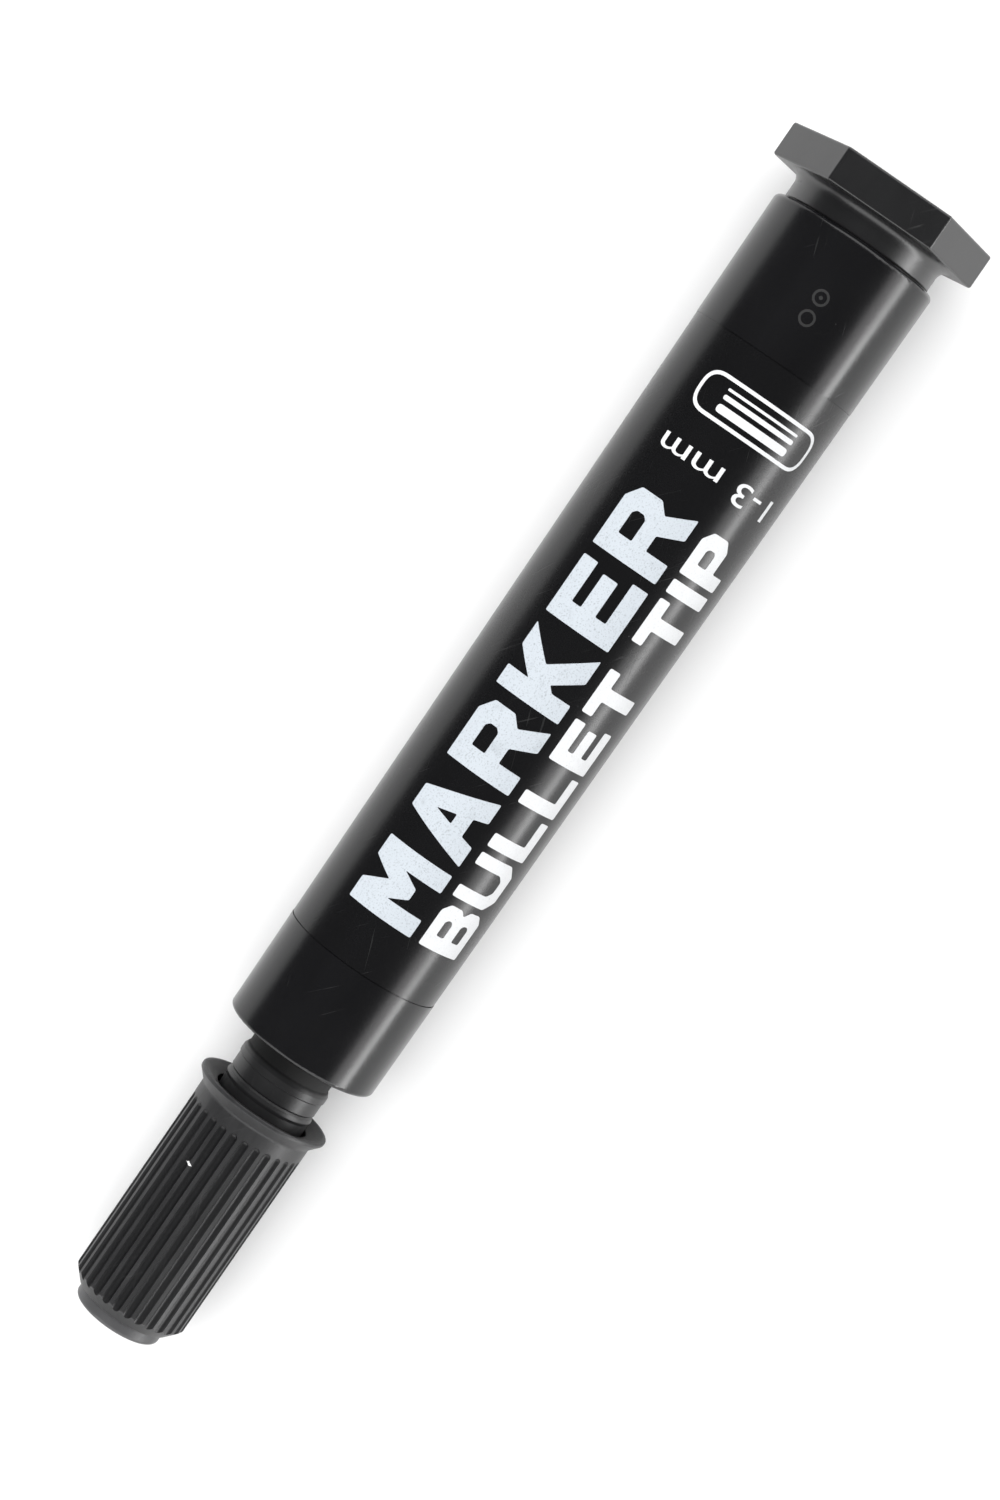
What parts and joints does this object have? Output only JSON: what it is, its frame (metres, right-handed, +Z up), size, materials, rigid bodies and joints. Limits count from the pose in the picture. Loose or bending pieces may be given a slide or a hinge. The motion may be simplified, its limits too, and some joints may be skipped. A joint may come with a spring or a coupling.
{
  "type": "felt tip marker",
  "caption": "Capped felt tip marker: tapered black barrel with a printed wrap, hexagonal end plug to stand on or stop rolling, bare neck and fluted pull-off cap.",
  "frame": {"origin": "middle of the length, under the axis, on the plane that the end plug's lower flat rests on", "axes": "+X from the hexagonal end plug to the cap's tip along the marker's axis, +Z up from the resting flat"},
  "size_m": [0.137, 0.0232, 0.0202],
  "materials": {
    "barrel_plastic": "glossy black moulded plastic",
    "label_film": "glossy black film with white print",
    "plug_plastic": "satin black moulded plastic",
    "neck_plastic": "matt black moulded plastic",
    "nib_felt": "pressed felt soaked in black ink",
    "reservoir_fibre": "bonded fibre soaked in black ink",
    "wrapper_film": "thin clear film",
    "cap_plastic": "matt black moulded plastic",
    "liner_plastic": "softer dark grey moulded plastic"
  },
  "bodies": {
    "marker": {"barrel": "barrel_plastic", "label_film": "label_film", "end_plug": "plug_plastic", "front_section": "neck_plastic", "nib": "nib_felt", "ink_reservoir": "reservoir_fibre", "reservoir_film": "wrapper_film"},
    "cap": {"cap_sleeve": "cap_plastic", "cap_liner": "liner_plastic"}
  },
  "joints": [
    {"name": "cap_pull", "type": "slide", "parent": "marker", "child": "cap", "axis": [1, 0, 0], "range_m": [0, 0.035]}
  ]
}
